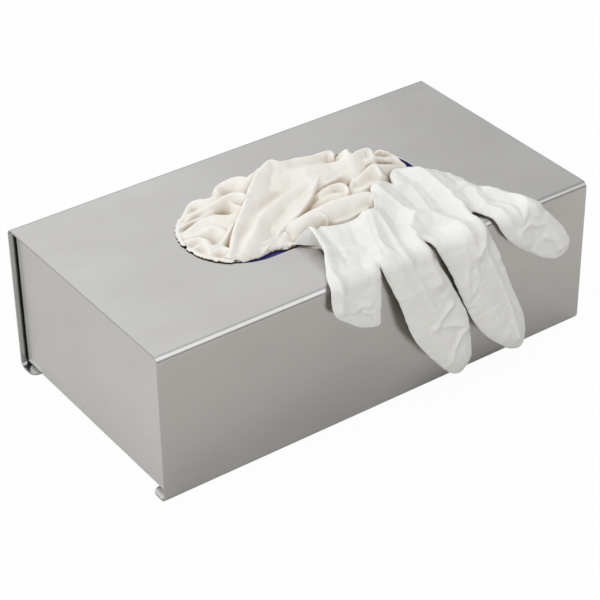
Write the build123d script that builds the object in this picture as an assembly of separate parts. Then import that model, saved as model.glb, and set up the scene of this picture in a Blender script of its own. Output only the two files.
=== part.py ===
from build123d import *
import os
from math import cos, pi, sin

# A sheet steel dispenser for one carton of gloves, lying on its back with its opening up.
# All lengths are in millimetres. X runs along the dispenser, the front wall faces -Y, and +Z points
# out of the opening. The origin is the middle of the rectangle that the dispenser rests on.

# Cover: one sheet folded to a C, with lips turned in under the tray
cover_length = 255.0
cover_width = 136.0
cover_height = 83.0
cover_sheet = 1.0
cover_fold_radius = 3.5
lip_width = 12.0
lip_corner_radius = 4.0
opening_length = 136.0
opening_width = 60.0
opening_edge_round = 0.3

# Tray: one sheet folded up at both ends, which carries the carton and is screwed to the wall
tray_sheet = 1.0
tray_fold_radius = 3.0
tray_end_recess = 3.0
tray_side_gap = 2.0
lip_running_gap = 0.3
end_plate_top_gap = 0.5
end_plate_corner_radius = 4.0

# Pressed screw seats that stand the tray off the wall, level with the lips
screw_spacing_x = 180.0
screw_spacing_y = 80.0
screw_hole_radius = 2.5
seat_radius = 9.0
seat_slope_width = 3.0

# Carton of card, with a torn out opening under the opening of the cover
card = 0.6
carton_end_clearance = 0.5
carton_side_clearance = 3.5
carton_top_clearance = 0.8
carton_rim_show_ends = 5.0
carton_rim_show_sides = 3.5
carton_tear_offset = 4.5
tear_tooth_pitch = 3.0
tear_tooth_depth = 0.8
panel_gap = 0.1
panel_side_gap = 0.4
dust_flap_length = 48.0
tuck_tongue_length = 14.0

# Packed gloves, in layers that stand for the folded gloves below the pile
packed_layers = 9
packed_layer_gap = 0.3
packed_end_gap = 5.0
packed_side_gap = 3.0
packed_corner_radius = 14.0
packed_edge_round = 2.5
packed_top_depth = 9.0

# Gloves that stand up through the opening
pile_foot_gap = 0.4
pile_shoulder = 0.45

# Drawn glove, which lies over the front edge of the cover
glove_gap = 0.5
palm_edge_gap = 1.0
palm_side = 2.5
palm_crest = 6.0
digit_side = 0.4
tail_over_end_plate = 0.3

# Places worked out from the sizes above
cover_inner_top = cover_height - cover_sheet
tray_length = cover_length - 2 * tray_end_recess
tray_width = cover_width - 2 * (cover_sheet + tray_side_gap)
tray_bottom = cover_sheet + lip_running_gap
tray_floor = tray_bottom + tray_sheet
end_plate_top = cover_inner_top - end_plate_top_gap
carton_length = tray_length - 2 * (tray_fold_radius + carton_end_clearance)
carton_width = cover_width - 2 * (cover_sheet + carton_side_clearance)
carton_top = cover_inner_top - carton_top_clearance
carton_height = carton_top - tray_floor
carton_middle = (carton_top + tray_floor) / 2
carton_opening_length = opening_length - 2 * carton_rim_show_ends
carton_opening_width = opening_width - 2 * carton_rim_show_sides
packed_top = carton_top - packed_top_depth
pile_foot = packed_top + pile_foot_gap
front_land = cover_width / 2 - cover_fold_radius - opening_width / 2
palm_back = front_land - palm_edge_gap

# Stations of each glove in the pile: x as a share of the carton opening's half length, y and width across
# as shares of its half width, and the height of the crest above the cover
pile_left = [
    (-0.905, -0.208, 0.34, 4),
    (-0.857, -0.094, 0.566, 9),
    (-0.714, 0.245, 0.604, 12),
    (-0.603, 0.472, 0.453, 8),
]
pile_corner = [
    (-0.894, -0.396, 0.189, 1),
    (-0.841, -0.532, 0.264, 4),
    (-0.771, -0.721, 0.189, 1),
]
pile_fold = [
    (-0.667, -0.717, 0.415, 4),
    (-0.603, -0.585, 0.792, 11),
    (-0.317, -0.094, 0.906, 18),
    (0.0, 0.434, 0.83, 17),
    (0.095, 0.623, 0.453, 9),
]
pile_front_roll = [
    (-0.286, -0.83, 0.189, 1),
    (-0.175, -0.774, 0.321, 6),
    (0.0, -0.691, 0.528, 11),
    (0.286, -0.679, 0.566, 12),
    (0.587, -0.66, 0.453, 5),
]
pile_curl = [
    (0.159, -0.155, 0.264, 3),
    (0.254, -0.155, 0.415, 8),
    (0.524, -0.155, 0.415, 9),
    (0.619, -0.155, 0.302, 3),
]
pile_back_roll = [
    (0.206, 0.434, 0.377, 7),
    (0.317, 0.396, 0.566, 13),
    (0.603, 0.396, 0.566, 14),
    (0.794, 0.321, 0.415, 9),
    (0.857, 0.245, 0.264, 4),
]
pile_right = [
    (0.659, -0.208, 0.302, 2),
    (0.762, -0.208, 0.415, 6),
    (0.905, -0.17, 0.415, 5),
    (0.952, -0.132, 0.226, 1),
]

# Palm of the drawn glove: distance past the start of the cover's front fold, then the sides of its
# four folds, which run on into the four digits
palm_rows = [
    (-palm_back, (-14, 8, 30, 52, 77)),
    (-16.5, (-21, 4, 29, 57, 83)),
    (-7, (-28, 0, 27.5, 60.5, 87)),
    (0, (-34, -4, 26, 62, 91)),
]
# Digits: distance past the start of the fold, left side, right side, lift off the cover, crest
digit_short = [(2.75, -35, -4.7, 1, 5), (5.5, -35.5, -5.2, 1, 5), (17, -34, -6.5, 3, 4), (26, -26, -9, 4, 2)]
digit_front = [
    (2.75, -3.3, 25.3, 1, 5.5),
    (5.5, -2.5, 25.6, 1, 5.5),
    (20, 3, 33, 3, 6),
    (40, 9, 41.5, 6, 5),
    (58, 19, 46, 8, 4),
    (68, 31, 42, 9, 2),
]
digit_middle = [
    (2.75, 26.7, 61, 1, 5.5),
    (5.5, 27.4, 61, 1, 5.5),
    (20, 35, 67, 3, 6),
    (40, 43.5, 74, 5, 5),
    (58, 58, 80, 7, 4),
    (68, 69, 79, 8, 2),
]
digit_end = [(2.75, 63.5, 92, 1, 6), (5.5, 65, 94, 1, 6), (17, 75, 102, 3, 5), (28, 90, 109, 5, 2)]
# Root of the palm: reach behind the palm as a share of the opening's half width, left side, right side,
# side height, crest, and whether it dips into the opening
palm_root = [
    (0, 31, 76, 1.5, 2.4, False),
    (0.217, 39, 74, 3, 6, False),
    (0.45, 44, 60, 4, 7, False),
    (0.5, 44, 59, 3.5, 6.5, True),
    (0.683, 46, 57, 2, 5, True),
]


def cover_shell():
    """C shaped cover with its opening and its turned in lips."""
    middle = Pos(0, cover_height / 2)
    outer = middle * RectangleRounded(cover_width, cover_height, cover_fold_radius)
    inner = middle * RectangleRounded(
        cover_width - 2 * cover_sheet,
        cover_height - 2 * cover_sheet,
        cover_fold_radius - cover_sheet,
    )
    between_lips = Rectangle(cover_width - 2 * lip_width, 2 * cover_fold_radius)
    profile = outer - inner - between_lips
    shell = extrude(Plane.YZ * profile, amount=cover_length / 2, both=True)
    cutter = Pos(0, 0, cover_height - 2 * cover_sheet) * SlotOverall(opening_length, opening_width)
    shell -= extrude(cutter, amount=4 * cover_sheet)
    top_edges = shell.faces().sort_by(Axis.Z)[-1].inner_wires()[0].edges()
    shell = fillet(top_edges, opening_edge_round)
    free_edge = cover_width / 2 - lip_width
    lip_corners = [
        edge
        for edge in shell.edges().filter_by(Axis.Z)
        if edge.center().Z < cover_sheet and abs(abs(edge.center().Y) - free_edge) < cover_sheet / 2
    ]
    return fillet(lip_corners, lip_corner_radius)


def screw_seat(x, y):
    """Shallow pressed cup in the tray's floor, level with the lips' underside."""
    rim = seat_radius + seat_slope_width
    outline = Polyline(
        (screw_hole_radius, 0),
        (seat_radius, 0),
        (rim, tray_bottom),
        (rim, tray_floor),
        (seat_radius - tray_sheet / 2, tray_sheet),
        (screw_hole_radius, tray_sheet),
        close=True,
    )
    return Pos(x, y, 0) * revolve(Plane.XZ * make_face(outline), Axis.Z)


def back_tray():
    """Floor under the carton with an end plate folded up at each end."""
    height = end_plate_top - tray_bottom
    outer = Pos(0, tray_bottom + height) * RectangleRounded(tray_length, 2 * height, tray_fold_radius)
    inner = Pos(0, tray_bottom + height) * RectangleRounded(
        tray_length - 2 * tray_sheet,
        2 * (height - tray_sheet),
        tray_fold_radius - tray_sheet,
    )
    above = Pos(0, tray_bottom + 1.5 * height) * Rectangle(2 * tray_length, height)
    profile = outer - inner - above
    tray = extrude(Plane.XZ * profile, amount=tray_width / 2, both=True)
    end_corners = [edge for edge in tray.edges().filter_by(Axis.X) if edge.center().Z > end_plate_top - 0.1]
    end_corners = [edge for edge in end_corners if abs(edge.center().Y) > tray_width / 2 - 0.1]
    tray = fillet(end_corners, end_plate_corner_radius)
    for x in (-screw_spacing_x / 2, screw_spacing_x / 2):
        for y in (-screw_spacing_y / 2, screw_spacing_y / 2):
            hole = Pos(x, y, 0) * Cylinder(seat_radius + seat_slope_width, 4 * tray_floor)
            tray = tray - hole + screw_seat(x, y)
    return tray


def torn_outline(length, width):
    """Outline of a slot whose edge is a row of small torn teeth."""
    radius = width / 2
    straight = length - width
    round_part = pi * radius
    perimeter = 2 * straight + 2 * round_part
    teeth = round(perimeter / tear_tooth_pitch)
    points = []
    for i in range(2 * teeth):
        s = i * perimeter / (2 * teeth)
        reach = radius - tear_tooth_depth * (i % 2)
        half, side = (s, 1) if s < straight + round_part else (s - straight - round_part, -1)
        if half < straight:
            point = (half - straight / 2, -reach)
        else:
            turn = (half - straight) / radius
            point = (straight / 2 + reach * sin(turn), -reach * cos(turn))
        points.append((side * point[0], side * point[1]))
    return make_face(Polyline(*points, close=True))


def carton_sleeve():
    """Four walls of the carton, with the torn opening in the top one."""
    middle = Pos(0, carton_middle)
    outer = middle * Rectangle(carton_width, carton_height)
    inner = middle * Rectangle(carton_width - 2 * card, carton_height - 2 * card)
    sleeve = extrude(Plane.YZ * (outer - inner), amount=carton_length / 2, both=True)
    outline = torn_outline(carton_opening_length, carton_opening_width)
    place = Pos(0, carton_tear_offset, carton_top - 2 * card)
    return sleeve - extrude(place * outline, amount=4 * card)


def carton_end_panels():
    """Closing panel of each end, with the tongue that is tucked under the top."""
    width = carton_width - 2 * (card + panel_side_gap)
    low = tray_floor + card + panel_gap
    high = carton_top - card - panel_gap
    panels = []
    for side in (-1, 1):
        outside = side * carton_length / 2
        panel = Pos(outside - side * card / 2, 0, (low + high) / 2) * Box(card, width, high - low)
        tongue_middle = outside - side * tuck_tongue_length / 2
        tongue = Pos(tongue_middle, 0, high - card / 2) * Box(tuck_tongue_length, width, card)
        panels.append(panel + tongue)
    return panels


def carton_dust_flaps():
    """Side flaps folded in behind the closing panels, two at each end."""
    low = tray_floor + card + panel_gap
    high = carton_top - 2 * card - 2 * panel_gap
    wall = carton_width / 2 - card - panel_side_gap
    flaps = []
    for end in (-1, 1):
        for side in (-1, 1):
            x = end * (carton_length / 2 - 1.5 * card - panel_gap)
            y = side * (wall - dust_flap_length / 2)
            flaps.append(Pos(x, y, (low + high) / 2) * Box(card, dust_flap_length, high - low))
    return flaps


def packed_gloves():
    """Layers of folded gloves between the carton's floor and the pile."""
    low = tray_floor + card + panel_gap
    pitch = (packed_top - low) / packed_layers
    thick = pitch - packed_layer_gap
    length = carton_length - 2 * (2 * card + packed_end_gap)
    width = carton_width - 2 * (card + packed_side_gap)
    outline = RectangleRounded(length, width, packed_corner_radius)
    layer = extrude(outline, amount=thick)
    rims = layer.faces().sort_by(Axis.Z)
    layer = fillet(rims[0].edges() + rims[-1].edges(), packed_edge_round)
    return [Pos(0, 0, low + pitch * i) * layer for i in range(packed_layers)]


def domed_section(plane, left, right, low, shoulder, crown):
    """Section of a soft roll: flat below, straight at the sides and arched on top."""
    base = Polyline((left, shoulder), (left, low), (right, low), (right, shoulder))
    arch = ThreePointArc((right, shoulder), ((left + right) / 2, crown), (left, shoulder))
    return plane * make_face(base + arch)


def spans(sections):
    """Ruled solids between neighbouring sections."""
    return [loft(pair, ruled=True) for pair in zip(sections, sections[1:])]


def roll(stations):
    """Crumpled glove standing on the packed gloves, lofted through its stations."""
    sections = []
    half_length = carton_opening_length / 2
    half_width = carton_opening_width / 2
    places = [
        Vector(x * half_length, carton_tear_offset + y * half_width, 0)
        for x, y, across, height in stations
    ]
    for i, (x, y, across, height) in enumerate(stations):
        heading = (places[min(i + 1, len(places) - 1)] - places[max(i - 1, 0)]).normalized()
        plane = Plane(origin=places[i], x_dir=Vector(0, 0, 1).cross(heading), z_dir=heading)
        width = across * half_width
        crown = cover_height + height
        shoulder = crown - pile_shoulder * width
        sections.append(domed_section(plane, -width / 2, width / 2, pile_foot, shoulder, crown))
    return Part() + spans(sections)


def drape_plane(distance, lift):
    """Plane across the front edge's drape, standing off the cover's face by the gap and the lift."""
    fold_y = -(cover_width / 2 - cover_fold_radius)
    fold_z = cover_height - cover_fold_radius
    fold_path = cover_fold_radius * pi / 2
    turn = min(max(distance, 0), fold_path) / cover_fold_radius
    along = min(distance, 0) + max(distance - fold_path, 0)
    heading = Vector(0, -cos(turn), -sin(turn))
    outward = Vector(0, -sin(turn), cos(turn))
    origin = Vector(0, fold_y, fold_z) + outward * (cover_fold_radius + glove_gap + lift) + heading * along
    return Plane(origin=origin, x_dir=(1, 0, 0), z_dir=heading)


def fold_and_digit(number, stations):
    """One fold of the palm with the digit that it runs into."""
    sections = []
    for distance, sides in palm_rows:
        left, right = sides[number], sides[number + 1]
        sections.append(domed_section(drape_plane(distance, 0), left, right, 0, palm_side, palm_crest))
    for distance, left, right, lift, crest in stations:
        plane = drape_plane(distance, lift)
        sections.append(domed_section(plane, left, right, 0, digit_side * crest, crest))
    return spans(sections)


def drawn_glove():
    """Glove pulled half out, over the front edge."""
    tail_low = end_plate_top + tail_over_end_plate - cover_height - glove_gap
    sections = []
    for reach, left, right, side, crest, dips in palm_root:
        distance = -palm_back - reach * opening_width / 2
        low = tail_low if dips else 0
        sections.append(domed_section(drape_plane(distance, 0), left, right, low, side, crest))
    pieces = spans(sections)
    for number, stations in enumerate((digit_short, digit_front, digit_middle, digit_end)):
        pieces += fold_and_digit(number, stations)
    return Part() + pieces


# The nodes, one file each

os.makedirs("parts", exist_ok=True)
parts = {
    "cover_shell": cover_shell(),
    "back_tray": back_tray(),
    "carton_sleeve": carton_sleeve(),
    "carton_end_panels": Compound(carton_end_panels()),
    "carton_dust_flaps": Compound(carton_dust_flaps()),
    "packed_gloves": Compound(packed_gloves()),
    "pile_glove_left": roll(pile_left),
    "pile_glove_corner": roll(pile_corner),
    "pile_glove_fold": roll(pile_fold),
    "pile_glove_front_roll": roll(pile_front_roll),
    "pile_glove_curl": roll(pile_curl),
    "pile_glove_back_roll": roll(pile_back_roll),
    "pile_glove_right": roll(pile_right),
    "drawn_glove": drawn_glove(),
}
for name, shape in parts.items():
    export_step(shape, f"parts/{name}.step")
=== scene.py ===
import math

import bmesh
import bpy
import numpy as np
from mathutils import Matrix, Vector, noise
from mathutils.geometry import delaunay_2d_cdt


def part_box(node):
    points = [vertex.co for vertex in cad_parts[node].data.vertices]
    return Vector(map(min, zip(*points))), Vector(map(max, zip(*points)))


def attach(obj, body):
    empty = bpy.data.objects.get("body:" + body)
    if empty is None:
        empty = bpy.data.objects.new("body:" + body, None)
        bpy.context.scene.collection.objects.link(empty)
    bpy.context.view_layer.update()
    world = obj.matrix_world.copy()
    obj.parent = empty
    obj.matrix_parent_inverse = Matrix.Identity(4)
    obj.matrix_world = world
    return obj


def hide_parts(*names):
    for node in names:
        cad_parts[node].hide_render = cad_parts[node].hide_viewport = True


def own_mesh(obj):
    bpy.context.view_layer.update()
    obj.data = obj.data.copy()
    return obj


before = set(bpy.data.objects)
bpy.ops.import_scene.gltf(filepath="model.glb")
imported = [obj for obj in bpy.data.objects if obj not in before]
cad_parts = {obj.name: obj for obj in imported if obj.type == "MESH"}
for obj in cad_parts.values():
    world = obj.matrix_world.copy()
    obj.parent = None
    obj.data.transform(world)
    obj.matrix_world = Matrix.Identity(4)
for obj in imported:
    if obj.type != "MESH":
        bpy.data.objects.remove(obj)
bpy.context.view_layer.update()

# A steel dispenser for one carton of gloves. They crumple in its opening, and one is drawn over the front
MM = 0.001

# Camera, as the photograph's: degrees, metres, pixels of the frame, and millimetres of the sensor
CAMERA_AZIMUTH = -35.19
CAMERA_ELEVATION = 34.22
CAMERA_ROLL = -0.75
CAMERA_DISTANCE = 1.0841
CAMERA_RIGHT = -0.00119
CAMERA_UP = 0.02165
FOCAL_PIXELS = 2100
FRAME_PIXELS = 600
SENSOR = 36.0

# Light: direction of the studio's bright side, and its weakest and strongest level
STUDIO_BRIGHT_SIDE = (-0.5, 0.6, 0.62)
STUDIO_LOW = 0.41
STUDIO_HIGH = 1.25

# Share of white that the floor shows to the camera
FLOOR_WHITE = 0.97

# Sizes that the gloves follow, from the frame
COVER_LOW, COVER_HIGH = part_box("cover_shell")
COVER_TOP = COVER_HIGH.z / MM
COVER_FRONT = COVER_LOW.y / MM

# Outer radius of the cover's front fold
FOLD_RADIUS = 3.5


# Camera, floor and light

def make_camera():
    """Camera at the photograph's viewing angle."""
    a = math.radians(CAMERA_AZIMUTH)
    e = math.radians(CAMERA_ELEVATION)
    r = math.radians(CAMERA_ROLL)
    back = Vector((math.sin(a) * math.cos(e), -math.cos(a) * math.cos(e), math.sin(e)))
    right = Vector((0, 0, 1)).cross(back).normalized()
    up = back.cross(right)
    place = back * CAMERA_DISTANCE + right * CAMERA_RIGHT + up * CAMERA_UP
    turned_right = right * math.cos(r) + up * math.sin(r)
    turned_up = up * math.cos(r) - right * math.sin(r)
    camera = bpy.data.objects.new("camera", bpy.data.cameras.new("camera"))
    camera.data.sensor_width = SENSOR
    camera.data.lens = FOCAL_PIXELS / FRAME_PIXELS * SENSOR
    camera.data.clip_start = 0.01
    camera.data.clip_end = 100
    turn = Matrix((turned_right, turned_up, back)).transposed()
    camera.matrix_world = Matrix.Translation(place) @ turn.to_4x4()
    bpy.context.scene.collection.objects.link(camera)
    bpy.context.scene.camera = camera


def node_material(name):
    """New material with only its output node: (material, nodes, links, output)."""
    material = bpy.data.materials.new(name)
    material.use_nodes = True
    tree = material.node_tree
    tree.nodes.clear()
    output = tree.nodes.new("ShaderNodeOutputMaterial")
    return material, tree.nodes, tree.links, output


def make_floor():
    """Pale floor that shows white to the camera and keeps a faint contact shadow."""
    bpy.ops.mesh.primitive_plane_add(size=12, location=(0, 0, -0.0002))
    floor = bpy.context.object
    floor.name = "floor"
    material, nodes, links, output = node_material("floor_white")
    diffuse = nodes.new("ShaderNodeBsdfDiffuse")
    diffuse.inputs["Color"].default_value = (0.62, 0.605, 0.58, 1)
    white = nodes.new("ShaderNodeEmission")
    white.inputs["Strength"].default_value = 1.0
    camera_share = nodes.new("ShaderNodeMath")
    camera_share.operation = "MULTIPLY"
    camera_share.inputs[1].default_value = FLOOR_WHITE
    path = nodes.new("ShaderNodeLightPath")
    mix = nodes.new("ShaderNodeMixShader")
    links.new(path.outputs["Is Camera Ray"], camera_share.inputs[0])
    links.new(camera_share.outputs[0], mix.inputs["Fac"])
    links.new(diffuse.outputs["BSDF"], mix.inputs[1])
    links.new(white.outputs["Emission"], mix.inputs[2])
    links.new(mix.outputs["Shader"], output.inputs["Surface"])
    floor.data.materials.append(material)


def make_world():
    """White to the camera. Light and mirrors see a grey studio, brightest above, behind and on the left."""
    world = bpy.data.worlds.new("studio")
    bpy.context.scene.world = world
    world.use_nodes = True
    nodes, links = world.node_tree.nodes, world.node_tree.links
    nodes.clear()
    output = nodes.new("ShaderNodeOutputWorld")
    place = nodes.new("ShaderNodeTexCoord")
    toward = nodes.new("ShaderNodeVectorMath")
    toward.operation = "DOT_PRODUCT"
    toward.inputs[1].default_value = STUDIO_BRIGHT_SIDE
    level = nodes.new("ShaderNodeMapRange")
    level.interpolation_type = "SMOOTHSTEP"
    level.inputs["From Min"].default_value = 0.1
    level.inputs["From Max"].default_value = 0.9
    level.inputs["To Min"].default_value = STUDIO_LOW
    level.inputs["To Max"].default_value = STUDIO_HIGH
    studio = nodes.new("ShaderNodeBackground")
    studio.inputs["Color"].default_value = (1.0, 0.995, 0.985, 1)
    white = nodes.new("ShaderNodeBackground")
    path = nodes.new("ShaderNodeLightPath")
    mix = nodes.new("ShaderNodeMixShader")
    links.new(place.outputs["Generated"], toward.inputs[0])
    links.new(toward.outputs["Value"], level.inputs["Value"])
    links.new(level.outputs["Result"], studio.inputs["Strength"])
    links.new(path.outputs["Is Camera Ray"], mix.inputs["Fac"])
    links.new(studio.outputs["Background"], mix.inputs[1])
    links.new(white.outputs["Background"], mix.inputs[2])
    links.new(mix.outputs["Shader"], output.inputs["Surface"])


def area_light(name, place, target, size, watts):
    """Square soft lamp that looks at a point."""
    lamp = bpy.data.lights.new(name, "AREA")
    lamp.shape = "SQUARE"
    lamp.size = size
    lamp.energy = watts
    light = bpy.data.objects.new(name, lamp)
    light.location = place
    light.rotation_mode = "QUATERNION"
    light.rotation_quaternion = (Vector(target) - Vector(place)).to_track_quat("-Z", "Y")
    bpy.context.scene.collection.objects.link(light)


def make_lights():
    """Soft box overhead, a weak fill from the front left, and a strip that the front fold mirrors."""
    area_light("top_softbox", (-0.2, 0.0, 1.2), (0, 0, 0.05), 1.0, 0.6)
    area_light("left_fill", (-1.1, -1.0, 0.5), (0, 0, 0.04), 1.5, 6.4)
    area_light("fold_strip", (0.25, -0.5, 0.62), (-0.04, -0.06, 0.08), 0.62, 1.1)


# Materials

def shader(name, **sockets):
    """Material with one Principled shader, whose steady values sit on its own sockets."""
    material, nodes, links, output = node_material(name)
    principled = nodes.new("ShaderNodeBsdfPrincipled")
    for socket, value in sockets.items():
        principled.inputs[socket.replace("_", " ")].default_value = value
    links.new(principled.outputs["BSDF"], output.inputs["Surface"])
    return material, nodes, links, principled


def noise_texture(nodes, links, scale, detail, stretch=(1, 1, 1)):
    """Noise in the object's own coordinates, stretched along an axis."""
    place = nodes.new("ShaderNodeTexCoord")
    mapping = nodes.new("ShaderNodeMapping")
    mapping.inputs["Scale"].default_value = stretch
    texture = nodes.new("ShaderNodeTexNoise")
    texture.inputs["Scale"].default_value = scale
    texture.inputs["Detail"].default_value = detail
    links.new(place.outputs["Object"], mapping.inputs["Vector"])
    links.new(mapping.outputs["Vector"], texture.inputs["Vector"])
    return texture


def ramp_between(nodes, links, source, low, high, start=0.3, end=0.7):
    """Colour ramp from low to high, driven by a texture."""
    ramp = nodes.new("ShaderNodeValToRGB")
    ramp.color_ramp.elements[0].position = start
    ramp.color_ramp.elements[0].color = (*low, 1)
    ramp.color_ramp.elements[1].position = end
    ramp.color_ramp.elements[1].color = (*high, 1)
    links.new(source, ramp.inputs["Fac"])
    return ramp


def map_range(nodes, links, source, low, high, start=0.0, end=1.0):
    """Value that goes from low to high while its source goes from start to end."""
    node = nodes.new("ShaderNodeMapRange")
    for socket, value in (("From Min", start), ("From Max", end), ("To Min", low), ("To Max", high)):
        node.inputs[socket].default_value = value
    links.new(source, node.inputs["Value"])
    return node.outputs["Result"]


def add_bump(nodes, links, principled, source, strength, distance):
    """Fine relief on a material, from a texture."""
    bump = nodes.new("ShaderNodeBump")
    bump.inputs["Strength"].default_value = strength
    bump.inputs["Distance"].default_value = distance
    links.new(source, bump.inputs["Height"])
    links.new(bump.outputs["Normal"], principled.inputs["Normal"])


def colour_mix(nodes, links, share, first, second):
    """Mix of two colours by a share. Each is a fixed colour or another node's output."""
    mix = nodes.new("ShaderNodeMix")
    mix.data_type = "RGBA"
    links.new(share, mix.inputs["Factor"])
    for socket, colour in (("A", first), ("B", second)):
        if isinstance(colour, tuple):
            mix.inputs[socket].default_value = (*colour, 1)
        else:
            links.new(colour, mix.inputs[socket])
    return mix.outputs["Result"]


# How far roughness varies about its middle, and between which values that of the card varies
STEEL_ROUGHNESS_SPREAD = 0.03
FILM_ROUGHNESS_SPREAD = 0.07
CARD_ROUGHNESS = (0.35, 0.6)

# Bend of the film at which the painted highlight on a crease starts, and at which it is strongest
CREASE_HIGHLIGHT_BEND = (0.51, 0.6)
# Reach of the shade in the film's hollows, and how open a place is where the shade is full and where it ends
HOLLOW_REACH = 0.011
HOLLOW_SHADE = (0.25, 0.92)


def steel(name, dark, light, roughness, grain_stretch, relief):
    """Satin stainless sheet: faint cloudy tint, fine rolling grain and small roughness changes."""
    material, nodes, links, principled = shader(name, Metallic=1.0, Anisotropic=0.35)
    cloud = noise_texture(nodes, links, 22, 4, (0.6, 1, 1))
    tint = ramp_between(nodes, links, cloud.outputs["Fac"], dark, light, 0.35, 0.65)
    links.new(tint.outputs["Color"], principled.inputs["Base Color"])
    grain = noise_texture(nodes, links, 900, 2, grain_stretch)
    lowest = roughness - STEEL_ROUGHNESS_SPREAD
    highest = roughness + STEEL_ROUGHNESS_SPREAD
    rough = map_range(nodes, links, grain.outputs["Fac"], lowest, highest)
    links.new(rough, principled.inputs["Roughness"])
    add_bump(nodes, links, principled, grain.outputs["Fac"], relief, 0.0002)
    return material


def card(name):
    """Blue card with a slight mottle and fibrous roughness."""
    material, nodes, links, principled = shader(name)
    fibre = noise_texture(nodes, links, 260, 4)
    tint = ramp_between(nodes, links, fibre.outputs["Fac"], (0.022, 0.024, 0.16), (0.035, 0.036, 0.22))
    links.new(tint.outputs["Color"], principled.inputs["Base Color"])
    rough = map_range(nodes, links, fibre.outputs["Fac"], *CARD_ROUGHNESS)
    links.new(rough, principled.inputs["Roughness"])
    return material


def film(name, painted_shade, dark, light, rim, roughness, coat):
    """Thin glove film: soft light through it, painted shade in its hollows, a painted highlight on its
    creases and a fine powdery bump.
    """
    material, nodes, links, principled = shader(
        name, Subsurface_Weight=0.2, Subsurface_Scale=0.003, Coat_Weight=coat, Coat_Roughness=0.3
    )
    principled.inputs["Subsurface Radius"].default_value = (1.0, 0.8, 0.6)
    cloud = noise_texture(nodes, links, 90, 5)
    tint = ramp_between(nodes, links, cloud.outputs["Fac"], dark, light)
    # Painted highlight: convex creases and edges of the film turn to the pale rim colour
    bend = nodes.new("ShaderNodeNewGeometry")
    crease = map_range(nodes, links, bend.outputs["Pointiness"], 0, 1, *CREASE_HIGHLIGHT_BEND)
    crease_highlighted = colour_mix(nodes, links, crease, tint.outputs["Color"], rim)
    # Painted shade: where the film is closed in, its colour turns to the tan shade colour
    hollow = nodes.new("ShaderNodeAmbientOcclusion")
    hollow.inputs["Distance"].default_value = HOLLOW_REACH
    hollow.samples = 8
    open_share = map_range(nodes, links, hollow.outputs["AO"], 0, 1, *HOLLOW_SHADE)
    shaded = colour_mix(nodes, links, open_share, painted_shade, crease_highlighted)
    links.new(shaded, principled.inputs["Base Color"])
    lowest = roughness - FILM_ROUGHNESS_SPREAD
    highest = roughness + FILM_ROUGHNESS_SPREAD
    rough = map_range(nodes, links, cloud.outputs["Fac"], lowest, highest)
    links.new(rough, principled.inputs["Roughness"])
    powder = noise_texture(nodes, links, 1400, 2)
    add_bump(nodes, links, principled, powder.outputs["Fac"], 0.12, 0.0003)
    return material


def dress(node, material):
    """Gives a CAD node its material."""
    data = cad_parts[node].data
    data.materials.clear()
    data.materials.append(material)


# Shaping helpers for the gloves: all points in millimetres

def smooth_curve(values, samples):
    """Smooth curve through rows of control values, sampled evenly between the rows."""
    values = np.asarray(values, float)
    padded = np.vstack([2 * values[:1] - values[1:2], values, 2 * values[-1:] - values[-2:-1]])
    t = np.linspace(0, len(values) - 1, samples)
    i = np.minimum(t.astype(int), len(values) - 2)
    f = (t - i)[(...,) + (None,) * (values.ndim - 1)]
    p0, p1, p2, p3 = padded[i], padded[i + 1], padded[i + 2], padded[i + 3]
    square = 2 * p0 - 5 * p1 + 4 * p2 - p3
    cube = 3 * p1 - p0 - 3 * p2 + p3
    return (2 * p1 + f * (p2 - p0) + f**2 * square + f**3 * cube) / 2


def new_object(name, points, faces):
    """Smooth shaded mesh object from points in millimetres."""
    data = bpy.data.meshes.new(name)
    data.from_pydata([tuple(p) for p in np.asarray(points) * MM], [], faces)
    data.validate()
    data.polygons.foreach_set("use_smooth", [True] * len(data.polygons))
    obj = bpy.data.objects.new(name, data)
    bpy.context.scene.collection.objects.link(obj)
    return obj


def coordinates(obj):
    """Points of a mesh object, in millimetres."""
    points = np.empty(3 * len(obj.data.vertices))
    obj.data.vertices.foreach_get("co", points)
    return points.reshape(-1, 3) / MM


def set_coordinates(obj, points):
    """Moves a mesh object's points, in millimetres."""
    obj.data.vertices.foreach_set("co", (np.asarray(points) * MM).ravel())
    obj.data.update()


def outward_faces(obj):
    """Turns every face of a closed mesh outward."""
    mesh = bmesh.new()
    mesh.from_mesh(obj.data)
    bmesh.ops.recalc_face_normals(mesh, faces=mesh.faces)
    mesh.to_mesh(obj.data)
    mesh.free()


def apply_modifier(obj, modifier):
    """Applies one modifier to the mesh."""
    bpy.ops.object.select_all(action="DESELECT")
    bpy.context.view_layer.objects.active = obj
    obj.select_set(True)
    bpy.ops.object.modifier_apply(modifier=modifier.name)


def subdivide(obj):
    """One smoothing subdivision."""
    modifier = obj.modifiers.new("smooth", "SUBSURF")
    modifier.levels = 1
    modifier.render_levels = 1
    apply_modifier(obj, modifier)


def crumple(points, size, height, seed, stretch=(1, 1, 1)):
    """Heights of noise with sharp creases at each point, up to about the given height both ways."""
    turned = points * np.asarray(stretch) / size + seed * 17.3
    values = []
    for p in turned:
        v = Vector(p)
        coarse = abs(noise.noise(v))
        fine = abs(noise.noise(v * 2.1 + Vector((5, 3, 1))))
        values.append(1 - 2.2 * coarse - 0.9 * fine)
    return height * np.array(values)


def normals(obj):
    """Vertex normals of a mesh object."""
    values = np.empty(3 * len(obj.data.vertices))
    obj.data.vertices.foreach_get("normal", values)
    return values.reshape(-1, 3)


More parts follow.
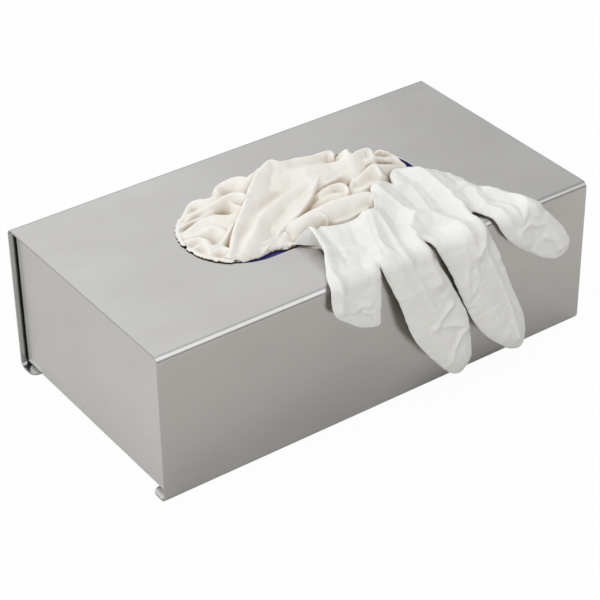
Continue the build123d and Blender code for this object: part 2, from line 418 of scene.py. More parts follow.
def soften(obj, moves, rounds):
    """Averages each point's move with those of its neighbours, so that only the longer wrinkles stay."""
    edges = np.empty(2 * len(obj.data.edges), int)
    obj.data.edges.foreach_get("vertices", edges)
    a, b = edges.reshape(-1, 2).T
    count = 1.0 + np.bincount(a, minlength=len(moves)) + np.bincount(b, minlength=len(moves))
    for _ in range(rounds):
        total = moves.copy()
        np.add.at(total, a, moves[b])
        np.add.at(total, b, moves[a])
        moves = total / count[:, None]
    return moves


# The film is simulated enlarged, and the softened wrinkles are made higher again
SIM_SCALE = 10
WRINKLE_GAIN = 1.6
FILM_STIFFNESS = 12


def buckle(obj, hold, excess, frames, bending, reach, rounds):
    """Cloth simulation of a film that is longer than its form, so that it buckles into wrinkles.

    hold is how strongly each point keeps its place, from 0 to 1, and reach caps how far it may move.
    """
    start = coordinates(obj)
    set_coordinates(obj, start * SIM_SCALE)
    group = obj.vertex_groups.new(name="hold")
    for level in np.unique(np.round(hold, 2)):
        group.add([int(i) for i in np.nonzero(np.round(hold, 2) == level)[0]], float(level), "REPLACE")
    cloth = obj.modifiers.new("film", "CLOTH")
    settings = cloth.settings
    settings.quality = 6
    settings.mass = 0.15
    settings.air_damping = 2
    settings.tension_stiffness = FILM_STIFFNESS
    settings.compression_stiffness = FILM_STIFFNESS
    settings.shear_stiffness = FILM_STIFFNESS / 2
    settings.bending_stiffness = bending
    settings.shrink_min = -excess
    settings.vertex_group_mass = "hold"
    settings.pin_stiffness = 1
    settings.effector_weights.gravity = 0.05
    cloth.collision_settings.use_collision = False
    cloth.collision_settings.use_self_collision = False
    cloth.point_cache.frame_start = 1
    cloth.point_cache.frame_end = frames
    scene = bpy.context.scene
    for frame_number in range(1, frames + 1):
        scene.frame_set(frame_number)
    apply_modifier(obj, cloth)
    moved = WRINKLE_GAIN * soften(obj, coordinates(obj) / SIM_SCALE - start, rounds)
    scene.frame_set(1)
    length = np.linalg.norm(moved, axis=1, keepdims=True)
    moved *= np.minimum(1, reach / np.maximum(length, 1e-6))
    set_coordinates(obj, start + moved)
    obj.vertex_groups.clear()


# Drawn glove

FRONT_FOLD_Y = COVER_FRONT + FOLD_RADIUS
FOLD_PATH = FOLD_RADIUS * math.pi / 2
FILM_GAP = 0.8
DRAPE_PITCH = 1.2
DRAPE_ROW_STEP = 0.866
DRAPE_ACROSS = (-40, 119)
DRAPE_ALONG = (-59, 76)

# Outline over the drape, as pairs: x, distance past the start of the cover's front fold
GLOVE_OUTLINE = (
    (-18, -33.5), (-18.8, -28), (-21.5, -17.5), (-26, -9), (-30, -2.5), (-33, 4), (-33, 10), (-31.5, 16.5),
    (-26, 21.5), (-17.5, 27.5), (-10.5, 29.8), (-6.5, 29.5), (-5.8, 22), (-4.8, 14), (-3.8, 5), (-3.2, 3.2),
    (-1.5, 6.5), (0.5, 12), (5.5, 24), (9, 35), (12.5, 45), (18, 54), (25.5, 64), (32.5, 72), (37, 75.5),
    (41, 76.5), (44.5, 74), (47.5, 70), (48.2, 66), (47.6, 57), (46.5, 46), (41, 33), (36.5, 23.5),
    (31, 12), (26.8, 3), (26, 0.2), (27.5, 0.8), (30.5, 5.5), (34, 12.5), (37.5, 20), (42.5, 33),
    (47.5, 45.5), (52, 54), (58, 62), (67, 71), (74, 76), (79, 77.8), (82, 75), (83, 68), (82.3, 60),
    (79, 50), (74, 37.5), (69.5, 24), (65, 12), (61.5, 4), (60.4, 0.5), (60.8, -5.5), (62.5, -6.5),
    (65, -2), (69, 7), (75.5, 16), (81.5, 21.5), (88, 26), (95, 31), (102.5, 34.5), (108, 34.5),
    (111.5, 32.5), (113, 28.5), (111.5, 23.5), (108, 17.5), (102, 10), (96.5, 4), (91.5, -3), (89, -9),
    (85.5, -15), (80.5, -20.5), (76.5, -25), (73.5, -31.5), (69.5, -36), (63.5, -40.5), (57.5, -44.5),
    (52, -48), (47, -49.5), (42.5, -47.5), (39.5, -43.5), (38, -41), (36.5, -43), (33, -45), (29, -44),
    (25, -41), (21.5, -35), (18.5, -29.5), (14.5, -27), (10.5, -28), (6, -27), (0, -27), (-5.5, -28.5),
    (-11, -31), (-15, -33.5),
)
# Ridges of the film: height, half width, and the line that the ridge follows
GLOVE_RIDGES = (
    (2.2, 9, ((10.5, -27.5), (5.5, -15), (2.5, -4), (-3, 2))),
    (1.2, 5, ((-16.5, -32), (-19, -17.5), (-27, -3), (-29, 14))),
    (1.0, 4, ((-21, -16), (-11, -13.5), (-5.5, -11), (1, -8))),
    (0.6, 10, ((-8, -26), (-12, -12), (-18, 0))),
    (1.1, 3, ((-29, 4), (-23.5, 9.5), (-19.5, 14.5), (-13, 16.5))),
    (2.8, 8, ((12, -25), (10, -18.5), (6.5, -10), (5, -2))),
    (1.8, 6, ((16, -22), (14, -8), (11, 2.5), (16.5, 13.5), (20.5, 25.5), (23.5, 32), (29, 38))),
    (3.4, 9, ((32, -15), (25, -9), (24, -2), (24, 6), (28, 18))),
    (1.8, 3.5, ((35.5, 35), (29, 38), (24, 42.5))),
    (1.8, 3.5, ((24, 42.5), (34, 45), (43.5, 49))),
    (1.8, 3.5, ((45, 51.5), (41, 52.5), (35.5, 60), (32, 67.5))),
    (2.0, 12, ((6, 8), (16, 28), (26, 48), (36, 66))),
    (3.4, 9, ((32, -15), (41, -11.5), (46, -3), (50, 8), (52.5, 12))),
    (3.4, 8, ((58, -11), (57.5, -3), (58, 3), (56, 7), (51, 12))),
    (3.0, 10, ((56, -42), (58, -31), (58.5, -20.5), (58, -11))),
    (1.3, 5, ((58.5, -20.5), (66.5, -22), (72, -23.5))),
    (2.4, 10, ((28, -40), (30, -30), (32, -15))),
    (2.0, 4, ((44.5, 5), (45.5, 14.5), (45, 26.5), (46, 35.5))),
    (2.3, 4, ((56, 9), (59.5, 18.5), (66, 34.5), (72, 50.5), (77, 69))),
    (1.5, 3, ((51.5, 16), (51.5, 27), (49, 33))),
    (2.0, 12, ((44, 8), (52, 26), (60, 46), (70, 64))),
    (2.4, 8, ((72, -18), (69, -6), (72, 1.5), (77, 9.5), (82, 18))),
    (2.4, 8, ((80, -16), (84, -8), (90, 2), (99, 14), (106, 25))),
    (1.9, 3.5, ((71, -8), (76.5, -1), (81.5, 6), (87, 2), (88, -4.5))),
    (1.9, 3.5, ((80, 10.5), (86.5, 8.5), (92.5, 11.5))),
    (1.9, 3.5, ((96.5, 18.5), (101.5, 23), (105, 28.5), (111, 27))),
    (1.8, 9, ((40, -40), (45, -34), (44, -24), (41, -12))),
)
# Open end of the left digit, past which it is one layer thick, and how far right that digit reaches
SHORT_RIM = ((-40, 14), (-31.5, 16.5), (-24.5, 17.5), (-17.5, 19), (-11.5, 23), (-6, 30), (-4, 31))
SHORT_DIGIT_RIGHT = -3
OPEN_END_THICKNESS = 0.5

# Thickness of the hollow glove away from its ridges and at its outline, and how wide its outline rounds off
HOLLOW_THICKNESS = 1.4
OUTLINE_THICKNESS = 0.3
OUTLINE_ROUND = 6
CROSSED_RIDGE_SHARE = 0.35


def line_distance(points, line):
    """Distance of each point to an open line."""
    line = np.asarray(line, float)
    best = np.full(len(points), 1e9)
    for start, end in zip(line[:-1], line[1:]):
        along = end - start
        t = np.clip(((points - start) @ along) / (along @ along), 0, 1)
        best = np.minimum(best, np.linalg.norm(points - start - t[:, None] * along, axis=1))
    return best


# Back border of the drawn glove: x, place past the fold, height, and the length over which it comes down
BACK_BORDER = (
    (-22, -33, 8.5, 34), (-11, -31, 7.5, 30), (0, -27, 7.5, 24), (6, -27, 8, 24), (11, -28, 9, 26),
    (15, -27, 9.8, 26), (21, -35, 10.4, 32), (30, -44, 10.5, 42), (47, -49, 10, 46), (57, -44, 9, 42),
    (64, -40, 8, 38), (71, -35, 6, 30), (77, -25, 2.8, 20), (88, -12, 0.5, 10),
)
# Rise of the digits off the cover's wall: place past the fold, height
TIP_LIFT = ((0, 0), (20, 3.5), (45, 6.0), (72, 8.5))
# Rise towards the back border: share of the way back, share of the border's height
BACK_RISE = ((0, 0), (0.25, 0.1), (0.6, 0.5), (1, 1))
# Raised flap at the left: place past the fold, then its height or the x of its edge
FLAP_HEIGHT = ((-34, 8.0), (-25, 8.4), (-16, 7.2), (-9, 4.8), (-3, 2.4), (2, 0.9), (10, 0.0))
FLAP_EDGE = ((-33, -17), (-13, -24), (6, -36), (20, -31))
FLAP_WIDTH = 15
# The palm takes over from the flap between this x and this far right of it
PALM_LEFT = -18
PALM_BLEND = 6


def along_line(at, pairs):
    """Value at each place, straight between the pairs (place, value)."""
    return np.interp(at, *np.array(pairs, float).T)


def lift_off(x, s):
    """Height of the back layer over the cover: more at the tips, over the pile and at the raised flap."""
    at_x, back, height, reach = np.array(BACK_BORDER).T
    share = 1 - (s - np.interp(x, at_x, back)) / np.interp(x, at_x, reach)
    over_pile = np.interp(x, at_x, height) * along_line(share, BACK_RISE)
    palm = over_pile * np.clip((x - PALM_LEFT) / PALM_BLEND, 0, 1)
    past_edge = (x - along_line(s, FLAP_EDGE)) / FLAP_WIDTH
    flap = along_line(s, FLAP_HEIGHT) * np.clip(1 - past_edge, 0, 1) ** 1.3
    return FILM_GAP + along_line(s, TIP_LIFT) + np.maximum(palm, flap)


def film_height(flat, depth):
    """Thickness between the layers: sharp ridges on a thin hollow form, closed at the outline."""
    x, s = flat.T
    ridges = np.array([
        height * np.clip(1 - line_distance(flat, line) / width, 0, 1) ** 1.25
        for height, width, line in GLOVE_RIDGES
    ])
    highest = ridges.max(axis=0)
    thick = HOLLOW_THICKNESS + highest + CROSSED_RIDGE_SHARE * (ridges.sum(axis=0) - highest)
    open_end = (x < SHORT_DIGIT_RIGHT) & (s > along_line(x, SHORT_RIM))
    thick = np.where(open_end, OPEN_END_THICKNESS, thick)
    rim = np.clip(depth / OUTLINE_ROUND, 0, 1)
    return OUTLINE_THICKNESS + (thick - OUTLINE_THICKNESS) * (1 - (1 - rim) ** 2) ** 0.7


def drape(x, s, height):
    """Points in space, from places past the start of the front fold and heights over the cover's face."""
    turn = np.clip(s, 0, FOLD_PATH) / FOLD_RADIUS
    along = np.minimum(s, 0) + np.maximum(s - FOLD_PATH, 0)
    out = FOLD_RADIUS + height
    y = FRONT_FOLD_Y - np.sin(turn) * out - np.cos(turn) * along
    z = COVER_TOP - FOLD_RADIUS + np.cos(turn) * out - np.sin(turn) * along
    return np.column_stack([x, y, z])


# Under the flap the lower layer drops to the cover, by shares at depths from the outline and past the fold
UNDER_TUCK_IN = ((0, 0), (2.5, 1))
UNDER_TUCK_ALONG = ((-34, 0.3), (-28, 1), (-8, 1), (0, 0))
UNDER_LIFT = 0.4
RIM_SEAM = 0.2


def drawn_glove():
    """Two layers of film that share their outline, draped over the front edge."""
    dense = smooth_curve(GLOVE_OUTLINE + GLOVE_OUTLINE[:1], 4 * len(GLOVE_OUTLINE) + 1)[:-1]
    xs = np.arange(*DRAPE_ACROSS, DRAPE_PITCH)
    ss = np.arange(*DRAPE_ALONG, DRAPE_PITCH * DRAPE_ROW_STEP)
    grid = [(x + (DRAPE_PITCH / 2 if j % 2 else 0), s) for j, s in enumerate(ss) for x in xs]
    vertices = [Vector(p) for p in dense] + [Vector(p) for p in grid]
    rim = [(i, (i + 1) % len(dense)) for i in range(len(dense))]
    flat, _, triangles, _, _, _ = delaunay_2d_cdt(vertices, rim, [], 1, 1e-4)
    flat = np.array([tuple(p) for p in flat])
    used = sorted({i for t in triangles for i in t})
    renumber = {old: new for new, old in enumerate(used)}
    flat = flat[used]
    triangles = [tuple(renumber[i] for i in t) for t in triangles]
    depth = line_distance(flat, np.vstack([dense, dense[:1]]))
    x, s = flat[:, 0], flat[:, 1]
    low = lift_off(x, s)
    tuck = along_line(depth, UNDER_TUCK_IN) * along_line(s, UNDER_TUCK_ALONG)
    under = low - tuck * np.clip(low - FILM_GAP - UNDER_LIFT, 0, None) * (x < 0)
    count = len(flat)
    on_rim = depth < 1e-3
    layers = np.vstack([drape(x, s, low + film_height(flat, depth)), drape(x, s, under)])
    layers[:count][on_rim] = drape(x, s, low + RIM_SEAM)[on_rim]
    twin = np.arange(count, 2 * count)
    twin[on_rim] = np.nonzero(on_rim)[0]
    faces = list(triangles) + [tuple(int(twin[i]) for i in reversed(t)) for t in triangles]
    obj = new_object("drawn_glove_film", layers, faces)
    mesh = bmesh.new()
    mesh.from_mesh(obj.data)
    loose = [v for v in mesh.verts if not v.link_faces]
    bmesh.ops.delete(mesh, geom=loose, context="VERTS")
    bmesh.ops.recalc_face_normals(mesh, faces=mesh.faces)
    mesh.to_mesh(obj.data)
    mesh.free()
    return obj


# Lower layer of the raised flap: x and place of its foot on the cover, x and place of its top, its height
UNDER_FLAP = (
    (-25.5, -36, -24.5, -36, 1.6), (-23, -34.5, -21, -35, 5.5), (-20.5, -32, -18.6, -33.5, 8.2),
    (-18, -30, -18, -30.5, 8.4), (-16, -28, -17, -28, 7.6),
)
# Half the thickness of that layer, along x and along the drape
UNDER_FLAP_HALF = (0.2, 0.3)


def under_flap():
    """Lower layer of the drawn glove where its flap stands up, from the cover to the flap's edge."""
    half_x, half_s = UNDER_FLAP_HALF
    ribs = []
    for x, s, top_x, top_s, height in UNDER_FLAP:
        share = np.linspace(0, 1, 4)
        across = x + share * (top_x - x)
        along = s + share * (top_s - s)
        up = FILM_GAP + share * (height - FILM_GAP)
        near = drape(across + half_x, along + half_s, up)
        far = drape(across[::-1] - half_x, along[::-1] - half_s, up[::-1])
        ribs.append(np.vstack([near, far]))
    return closed_form("under_flap", ribs, 30, 24)


# Pile of gloves in the opening

# Round ended openings of the cover and the carton: half length and half width, and the carton's shift back
OPENING_HALF = (68.0, 30.0)
CARTON_HALF = (63.0, 26.5)
CARTON_OFFSET = 4.5
CARTON_TOP = 81.2
COVER_SHEET = 1.0

# Room that the film keeps: beside each opening's edge, above the cover and above the carton
OPENING_CLEARANCE = 1.0
CARTON_CLEARANCE = 1.5
OVER_COVER = 0.45
OVER_CARTON = 0.6
OVER_COVER_SLACK = 0.05

# Foot of the pile's film, in millimetres
FOOT = 73.4


def slot_reach(points, half, shrink, offset=0):
    """Nearest places inside a round ended slot, for points in plan, and whether each one had to move."""
    radius = half[1]
    centre = np.column_stack([
        np.clip(points[:, 0], -(half[0] - radius), half[0] - radius),
        np.full(len(points), offset),
    ])
    away = points[:, :2] - centre
    length = np.linalg.norm(away, axis=1)
    factor = np.minimum(1, (radius - shrink) / np.maximum(length, 1e-6))
    return centre + away * factor[:, None], factor < 1


def clear_of_openings(points):
    """Keeps a glove clear of the carton's torn edge and the cover's opening."""
    points = points.copy()
    in_slot, outside = slot_reach(points, OPENING_HALF, OPENING_CLEARANCE)
    over = outside & (points[:, 2] > COVER_TOP - COVER_SHEET)
    points[over, 2] = np.maximum(points[over, 2], COVER_TOP + OVER_COVER)
    below = points[:, 2] < COVER_TOP + OVER_COVER - OVER_COVER_SLACK
    points[below, :2] = in_slot[below]
    in_carton, _ = slot_reach(points, CARTON_HALF, CARTON_CLEARANCE, CARTON_OFFSET)
    low = points[:, 2] < CARTON_TOP + OVER_CARTON
    points[low, :2] = in_carton[low]
    return points


def closed_form(name, ribs, around, along):
    """Closed smooth skin through ribs, each of them a row of points that runs once around."""
    ribs = np.asarray(ribs, float)
    rows = np.array([smooth_curve(row, around) for row in smooth_curve(ribs, along)])
    points = list(rows.reshape(-1, 3))
    faces = []
    for i in range(along - 1):
        row, next_row = i * around, (i + 1) * around
        for j in range(around):
            k = (j + 1) % around
            faces.append((row + j, row + k, next_row + k, next_row + j))
    for i in (0, along - 1):
        points.append(rows[i].mean(axis=0))
        for j in range(around):
            faces.append((i * around + j, i * around + (j + 1) % around, len(points) - 1))
    obj = new_object(name, points, faces)
    outward_faces(obj)
    return obj


# Crests of each glove's folds: radius, fall to the left and to the right, and the points that they pass
PILE_CRESTS = {
    "pile_glove_left": (
        (1.5, 2.5, 0.7, ((-53.5, 24, 84.5), (-47.5, 27.5, 87.5), (-43.5, 26, 89), (-40, 22, 90.5),
            (-36, 21, 92), (-33.5, 24, 94), (-27.5, 23.5, 96), (-22.5, 20.5, 97.5), (-19.5, 15.5, 98),
            (-15, 15, 98))),
        (1.2, 1, 2.6, ((-56.5, 22, 84.8), (-54, 20.5, 86.5), (-50.5, 19, 88), (-46.5, 17.5, 89.5),
            (-43, 16, 91.5), (-38.5, 14.5, 93.5), (-34.5, 13, 95), (-31.5, 11, 96), (-29.5, 6, 97))),
        (0.6, 2.5, 3, ((-59, 18, 84.8), (-54.5, 18.5, 86), (-50.5, 18, 87), (-46, 16.5, 88),
            (-42.5, 15, 88.8), (-38, 13.5, 90))),
        (0.6, 2.5, 3, ((-62, 15.5, 84.5), (-58.5, 16, 85.5), (-53.5, 15.5, 86.8), (-50.5, 14.5, 87.6),
            (-46.5, 14.5, 88.2), (-43.5, 13.5, 88.5), (-40, 13, 89))),
        (0.6, 1, 2.3, ((-35, 10.5, 92.5), (-35, 6.5, 93), (-34, 2, 93.5))),
        (0.9, 3, 0.35, ((-61.5, 11.5, 84.6), (-57, 12, 85.6), (-52, 12.5, 86.5), (-49, 12.5, 87),
            (-46, 12, 87.6), (-42.5, 9.5, 88.5), (-39.5, 5.5, 89.2), (-35.5, 3, 90.5))),
        (1.2, 0.5, 1, ((-64, 10, 84.4), (-62, 7, 85), (-59, 4.5, 85.6), (-55, 4, 86.3), (-52, 4, 87),
            (-49.5, 3.5, 87.2), (-48, 0, 87.3), (-48, -3.5, 87.2))),
        (1, 0.9, 3, ((-50, 26.4, 84.6), (-58.5, 20.8, 84.6), (-64.4, 12.2, 84.6), (-67.2, 4, 84.6))),
    ),
    "pile_glove_corner": (
        (1, 1, 1.4, ((-66, 4, 84.4), (-64, 3.5, 85), (-61.5, 2.5, 85.5), (-59, 0.5, 85.8), (-58, -3, 85.8),
            (-59, -6.5, 85.6), (-57.5, -9, 85.8), (-54.5, -9.5, 86.2), (-51, -8, 86.8), (-47, -5.5, 87.6),
            (-42, -2.5, 88.6))),
        (0.8, 1.2, 1.2, ((-66.5, -3.5, 84.2), (-63.5, -3, 84.8), (-60.5, -3, 85.2), (-60, -6.5, 85.2),
            (-61, -12, 84.8))),
        (0.8, 1.2, 1.2, ((-62, -13, 84.2), (-58.5, -11.5, 84.8), (-54.5, -11.5, 85.6), (-54, -13.5, 86),
            (-53, -16, 86.2))),
        (0.8, 1.2, 1.4, ((-46.5, -21, 84.8), (-41, -21, 85.5), (-36, -21, 86.3), (-31, -20.5, 87))),
        (0.8, 1.2, 1.4, ((-34, -22.5, 85), (-29, -21.5, 86.5), (-25.5, -21.5, 88))),
        (0.8, 1.2, 1.4, ((-31, -23.5, 84.6), (-28, -23.5, 86), (-25, -22.5, 88))),
        (1, 0.9, 3, ((-67.3, -1, 84.6), (-65.6, -9.8, 84.6), (-62.3, -16.3, 84.6), (-57, -22.2, 84.5),
            (-54.5, -22.8, 84.3))),
        (0.8, 0.8, 3, ((-54.5, -22.4, 84.2), (-49.8, -22.8, 84), (-44.7, -22.9, 84), (-40.5, -23.8, 84),
            (-36.4, -24.1, 84), (-32.5, -24.5, 84), (-28.4, -25.8, 84.2), (-23.9, -28.1, 84.6))),
    ),
    "pile_glove_fold": (
        (1.4, 3.5, 0.75, ((-56.5, -19, 84.8), (-52.5, -16, 86.5), (-45.5, -8.5, 89.5), (-37.5, -2, 92.5),
            (-29.5, 4.5, 95.5), (-22.5, 10, 98.5), (-15.5, 14.5, 100.5), (-9.5, 17.5, 101.5),
            (-5.5, 18.5, 102))),
        (1.4, 2.5, 1, ((-5.5, 18.5, 102), (-1.5, 15, 101.5), (5.5, 14, 101), (12, 12.5, 100.5),
            (19, 12, 100), (25.5, 11.5, 99.5), (26, 8.5, 99))),
        (2.2, 0.8, 0.45, ((-5.5, 12, 98.8), (3, 9.5, 99), (11, 6.5, 98.6), (17, 5.5, 98))),
        (3, 1, 1, ((12, 1.5, 96.4), (5.5, -1, 96.2), (-5, -2, 95.4), (-14.5, -3.5, 94.2),
            (-21.5, -5.5, 93.6), (-28.5, -7.5, 92.4), (-36.5, -13.5, 90.6), (-43, -17, 89), (-47, -19, 87),
            (-50, -20, 84.8))),
        (0.6, 4, 0.25, ((16.5, 4.5, 97), (12.5, 0.5, 96.6), (3.5, -7, 95.4), (-2, -11.5, 94.4),
            (-10.5, -16.5, 93), (-17, -19, 91.6), (-26, -20.5, 89.2), (-29, -21.5, 86.5))),
        (1, 0.7, 3, ((-56.5, -19, 84.6), (-50.5, -20.5, 84.8), (-43.5, -21, 85), (-36, -21.5, 85.4),
            (-29.5, -21.5, 86.2))),
    ),
    "pile_glove_front_roll": (
        (4, 1.6, 1.2, ((-26.5, -21, 87), (-22, -20, 90), (-15, -21.5, 92), (-8.5, -21.5, 93),
            (-1.5, -22.5, 94.5), (6.5, -23, 95), (15, -25, 95.5), (20.5, -26.5, 95.5), (22.5, -28.5, 95))),
        (1.6, 0.6, 2.6, ((-25, -22.5, 85.5), (-19.5, -28, 87), (-12.5, -27.5, 88.5), (-6, -27, 89),
            (-1.5, -30.5, 89.5), (4.5, -33, 90.5), (11, -33, 91), (16.5, -33, 92))),
        (0.7, 1.2, 1.2, ((3, -21.5, 95.1), (2.5, -25, 93.3), (2.5, -27.5, 91))),
        (0.7, 1.2, 1.2, ((10, -23.5, 95.6), (10, -27, 94), (10.5, -29.5, 92))),
        (0.7, 1.2, 1.2, ((-16.5, -21, 91.4), (-16.5, -24, 90), (-17.5, -25.5, 88.4))),
        (0.7, 2, 2, ((-7, -24.5, 94), (-5.5, -27.5, 93.5), (-5.5, -29.5, 92), (-6, -30, 90))),
    ),
    "pile_glove_curl": (
        (1, 3, 1.2, ((-5.5, -11, 90), (0, -10, 92), (6.5, -8.5, 93.5), (12, -8.5, 94.5), (16, -10.5, 95),
            (17, -14, 95), (15.5, -18.5, 94.5))),
        (1.5, 1.5, 0.5, ((-3.5, -13.5, 90.5), (5, -13.5, 92.5), (11.5, -15.5, 93.5))),
        (0.7, 2, 1.5, ((2, -12.5, 92.5), (5, -10.5, 93.6), (10.5, -10.5, 94.3))),
    ),
    "pile_glove_back_roll": (
        (2, 4, 0.9, ((16, 4.5, 97.5), (21, 3, 98.5), (24.5, 1.5, 99.5), (27, 1.5, 101.5), (29.5, 2.5, 103),
            (29.5, -1, 102), (36, 0.5, 101.5), (42, 0.5, 101), (41.5, -3.5, 100))),
        (0.9, 1.2, 1.2, ((29.5, 2.5, 103), (27.5, 0, 100), (24.5, -6, 96.5))),
        (1.5, 0.5, 3, ((8, -4.5, 93.5), (12, -5.5, 94.5), (20, -5, 95.5), (25.5, -6.5, 96.5), (31, -5, 98),
            (38.5, -6.5, 99))),
    ),
    "pile_glove_right": (
        (1.2, 6, 2, ((50, 7.5, 91), (53.5, 8, 92), (56, 6, 92), (58, 2.5, 91), (59, -2, 90),
            (57.5, -7, 89))),
        (1.5, 5, 0.6, ((48.5, 3, 90.5), (56, 0, 91), (58.5, -7.5, 89.5))),
        (0.9, 2.2, 0.9, ((18, -16, 93.5), (26.5, -8.5, 95), (31.5, -5.5, 96.5), (37, -5.5, 97),
            (41.5, -9, 96), (48, -10.5, 94), (53, -11, 92))),
        (0.8, 1.3, 1.1, ((25.5, -12, 95), (37, -10, 98), (37, -16, 96))),
        (2.5, 0.8, 0.8, ((17, -17.5, 92.5), (23.5, -19, 93.5), (31, -18.5, 94))),
    ),
}
# Past this width a crest's side falls more steeply, so that it doesn't bury other folds
SIDE_WIDTH = 12.0
STEEP_FALL = 2.5

# Grid on which the film is made, its thickness, and the size and height of its small creases
PILE_ACROSS = (-70, 71)
PILE_ALONG = (-42, 33)
SHEET_PITCH = 0.8
SHEET_THICKNESS = 0.5
GRID_SWAY = 0.25
CREASE_SIZE = 13
CREASE_HEIGHT = 0.35

# Film's edge at the cover's opening: where it starts, the level that counts as over the cover, lift and lap
EDGE_START = 1.2
EDGE_LEVEL = 0.9
EDGE_LIFT = 0.5
EDGE_LAP = 0.9


def crest_surface(x, y, crests):
    """Height of a film that lies over all crests and falls into sharp hollows between them."""
    top = np.full(len(x), -1e9)
    for radius, fall_left, fall_right, line in crests:
        line = smooth_curve(line, 4 * len(line))
        nearest = np.full(len(x), 1e9)
        height = np.zeros(len(x))
        fall = np.zeros(len(x))
        for start, end in zip(line[:-1], line[1:]):
            ahead = end[:2] - start[:2]
            out = np.column_stack([x - start[0], y - start[1]])
            share = np.clip(out @ ahead / (ahead @ ahead), 0, 1)
            away = np.hypot(*(out - share[:, None] * ahead).T)
            side = ahead[0] * out[:, 1] - ahead[1] * out[:, 0]
            closer = away < nearest
            nearest = np.where(closer, away, nearest)
            height = np.where(closer, start[2] + share * (end[2] - start[2]), height)
            fall = np.where(closer, np.where(side > 0, fall_left, fall_right), fall)
        past_side = np.maximum(nearest - SIDE_WIDTH, 0)
        side_drop = fall * (np.hypot(nearest, radius) - radius)
        top = np.maximum(top, height - side_drop - STEEP_FALL * past_side)
    return top


def any_corner(marks):
    """Cells of a grid that have a mark at one or more of their four corners."""
    return marks[:-1, :-1] | marks[:-1, 1:] | marks[1:, :-1] | marks[1:, 1:]


def pile_sheet(name, crests, seed):
    """Thin film over the crests of one glove, down to its foot inside the carton's torn opening."""
    xs = np.arange(*PILE_ACROSS, SHEET_PITCH)
    ys = np.arange(*PILE_ALONG, SHEET_PITCH)
    gx, gy = (g.ravel() for g in np.meshgrid(xs, ys))
    gx = gx + GRID_SWAY * np.sin(gy * 2.1)
    z = crest_surface(gx, gy, crests)
    plan = np.column_stack([gx, gy])
    z = z + crumple(np.column_stack([gx, gy, z]), CREASE_SIZE, CREASE_HEIGHT, seed)
    _, outside = slot_reach(plan, OPENING_HALF, EDGE_START)
    shape = (len(ys), len(xs))
    off_rim = (outside & (z < COVER_TOP + EDGE_LEVEL)).reshape(shape)
    keep = (z > FOOT).reshape(shape) & ~off_rim
    on_cover = keep & outside.reshape(shape)
    z = np.maximum(z, np.where(outside, COVER_TOP + EDGE_LIFT, FOOT))
    rim, _ = slot_reach(plan, OPENING_HALF, -EDGE_LAP)
    gx, gy = np.where(off_rim.ravel(), rim.T, plan.T)
    index = np.full(shape, -1)
    quads = any_corner(keep) & (any_corner(on_cover) | ~any_corner(off_rim))
    used = np.zeros_like(keep)
    for dj in (0, 1):
        for di in (0, 1):
            used[dj:len(ys) - 1 + dj, di:len(xs) - 1 + di] |= quads
    index[used] = np.arange(used.sum())
    top = np.column_stack([gx, gy, z])[used.ravel()]
    faces = [
        tuple(int(k) for k in (index[j, i], index[j, i + 1], index[j + 1, i + 1], index[j + 1, i]))
        for j, i in np.argwhere(quads)
    ]
    sheet = new_object(name, top, faces)
    relax = sheet.modifiers.new("relax", "SMOOTH")
    relax.factor = 0.5
    relax.iterations = 1
    apply_modifier(sheet, relax)
    return sheet


def thicken(obj, thickness):
    """Gives a film its thickness, on the inside."""
    solid = obj.modifiers.new("thickness", "SOLIDIFY")
    solid.thickness = thickness
    solid.offset = -1
    apply_modifier(obj, solid)


def join(objects, name):
    """One mesh object from several."""
    mesh = bmesh.new()
    for obj in objects:
        mesh.from_mesh(obj.data)
        bpy.data.objects.remove(obj)
    data = bpy.data.meshes.new(name)
    mesh.to_mesh(data)
    mesh.free()
    data.polygons.foreach_set("use_smooth", [True] * len(data.polygons))
    joined = bpy.data.objects.new(name, data)
    bpy.context.scene.collection.objects.link(joined)
    return joined


# How firmly the film keeps its place in the simulation, by height
PILE_HOLD = ((78, 0.9), (84, 0.4))


def pile_glove(node, material, seed):
    """One glove of the pile, in place of its node."""
    glove = pile_sheet(node + "_film", PILE_CRESTS[node], seed)
    hold = along_line(coordinates(glove)[:, 2], PILE_HOLD)
    buckle(glove, hold, 0.02, 12, bending=4.0, reach=0.8, rounds=5)
    thicken(glove, SHEET_THICKNESS * MM)
    subdivide(glove)
    set_coordinates(glove, clear_of_openings(coordinates(glove)))
    glove.data.materials.append(material)
    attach(glove, "tray")
    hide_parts(node)
    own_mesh(glove)


# Section of one packed glove: share of its half width, share of its thickness
PACKED_SECTION = (
    (-1, 0.5), (-0.985, 0.85), (-0.93, 1), (-0.4, 0.96), (0, 1), (0.4, 0.95), (0.93, 1), (0.985, 0.85),
    (1, 0.5), (0.985, 0.15), (0.93, 0), (0.4, 0.04), (0, 0), (-0.4, 0.05), (-0.93, 0), (-0.985, 0.15),
)
# Sections along one packed glove: share of its half length, share of its full thickness
PACKED_STATIONS = (
    (-1, 0.35), (-0.985, 0.85), (-0.95, 1), (-0.5, 1), (0, 1),
    (0.5, 1), (0.95, 1), (0.985, 0.85), (1, 0.35),
)
PACKED_LAYERS = 9
PACKED_GAP = 0.5
PACKED_SIDE_GAP = 1
PACKED_WRINKLE_SIZE = 26
PACKED_WRINKLE_HEIGHT = 0.22
FIRST_PACKED_SEED = 21


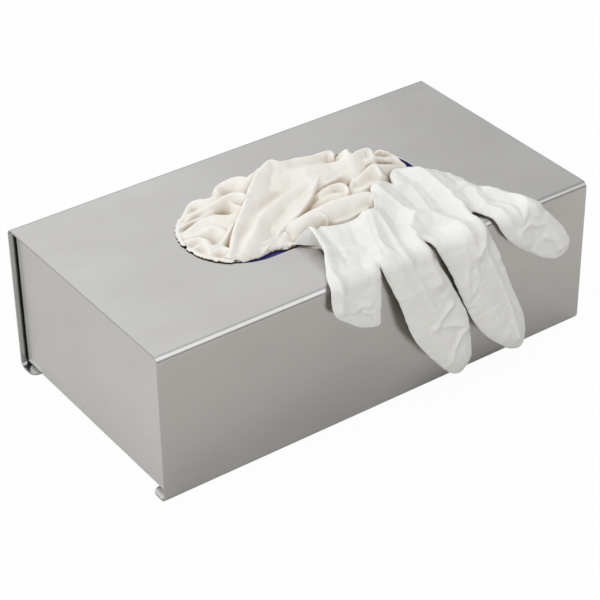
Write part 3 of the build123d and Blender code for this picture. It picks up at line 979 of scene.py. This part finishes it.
def packed_glove(index, low, high):
    """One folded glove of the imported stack, with wrinkled faces. The layers differ a little in size."""
    step = (high.z - low.z) / MM / PACKED_LAYERS
    foot = low.z / MM + index * step + PACKED_GAP
    half_length = (high.x - low.x) / MM / 2 - PACKED_SIDE_GAP - 2 * (index % 3)
    half_width = (high.y - low.y) / MM / 2 - PACKED_SIDE_GAP - 1.5 * (index % 2)
    middle = (high.y + low.y) / MM / 2
    ribs = []
    for share, slim in PACKED_STATIONS:
        thick = (step - PACKED_GAP) * slim
        lift = (step - PACKED_GAP - thick) / 2
        ribs.append([
            (share * half_length, middle + u * half_width * (0.9 + 0.1 * slim), foot + lift + v * thick)
            for u, v in PACKED_SECTION
        ])
    layer = closed_form("packed_glove", ribs, 90, 80)
    points = coordinates(layer)
    seed = index + FIRST_PACKED_SEED
    relief = crumple(points, PACKED_WRINKLE_SIZE, PACKED_WRINKLE_HEIGHT, seed, (0.5, 1, 2))
    set_coordinates(layer, points + normals(layer) * relief[:, None])
    return layer


def packed_gloves(material):
    """Stack of folded gloves in the carton, in place of its node."""
    low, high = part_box("packed_gloves")
    layers = [packed_glove(i, low, high) for i in range(PACKED_LAYERS)]
    stack = join(layers, "packed_gloves_film")
    stack.data.materials.append(material)
    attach(stack, "tray")
    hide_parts("packed_gloves")


def dress_cad(cover_steel, tray_steel, blue_card, cream_film, white_film):
    """Gives every CAD node its material."""
    dress("cover_shell", cover_steel)
    dress("back_tray", tray_steel)
    for panel in ("carton_sleeve", "carton_end_panels", "carton_dust_flaps"):
        dress(panel, blue_card)
    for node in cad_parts:
        if "glove" in node:
            dress(node, white_film if node == "drawn_glove" else cream_film)


def drape_glove(material):
    """Drawn glove with its lower layer, in place of its node."""
    glove = drawn_glove()
    hold = np.full(len(glove.data.vertices), 0.5)
    buckle(glove, hold, 0.03, 14, bending=1.0, reach=0.9, rounds=1)
    drawn = join([glove, under_flap()], "drawn_glove_film")
    subdivide(drawn)
    drawn.data.materials.append(material)
    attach(drawn, "drawn_glove")
    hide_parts("drawn_glove")


make_camera()
make_floor()
make_world()
make_lights()

cover_steel = steel("cover_steel", (0.58, 0.575, 0.57), (0.63, 0.625, 0.62), 0.23, (0.03, 1, 1), 0.04)
# The tray's steel is the cover's steel made lighter: painted light that brightens the end plate
tray_steel = steel("tray_steel", (0.79, 0.795, 0.80), (0.83, 0.835, 0.84), 0.26, (0.2, 1, 0.2), 0.005)
blue_card = card("blue_card")
cream_film = film(
    "cream_film",
    # The first colour is the shade painted into the film's hollows
    painted_shade=(0.42, 0.30, 0.16),
    dark=(0.85, 0.81, 0.73),
    light=(0.93, 0.905, 0.855),
    # rim is the colour of the highlight painted on the film's convex creases
    rim=(0.96, 0.95, 0.925),
    roughness=0.5,
    coat=0.1,
)
white_film = film(
    "white_film",
    # The first colour is the shade painted into the film's hollows
    painted_shade=(0.58, 0.56, 0.51),
    dark=(0.77, 0.77, 0.75),
    light=(0.83, 0.83, 0.81),
    # rim is the colour of the highlight painted on the film's convex creases
    rim=(0.93, 0.93, 0.92),
    roughness=0.42,
    coat=0.25,
)
dress_cad(cover_steel, tray_steel, blue_card, cream_film, white_film)

drape_glove(white_film)
for seed, node in enumerate(PILE_CRESTS):
    pile_glove(node, cream_film, seed + 1)
packed_gloves(cream_film)

bpy.context.scene.view_settings.view_transform = "Standard"
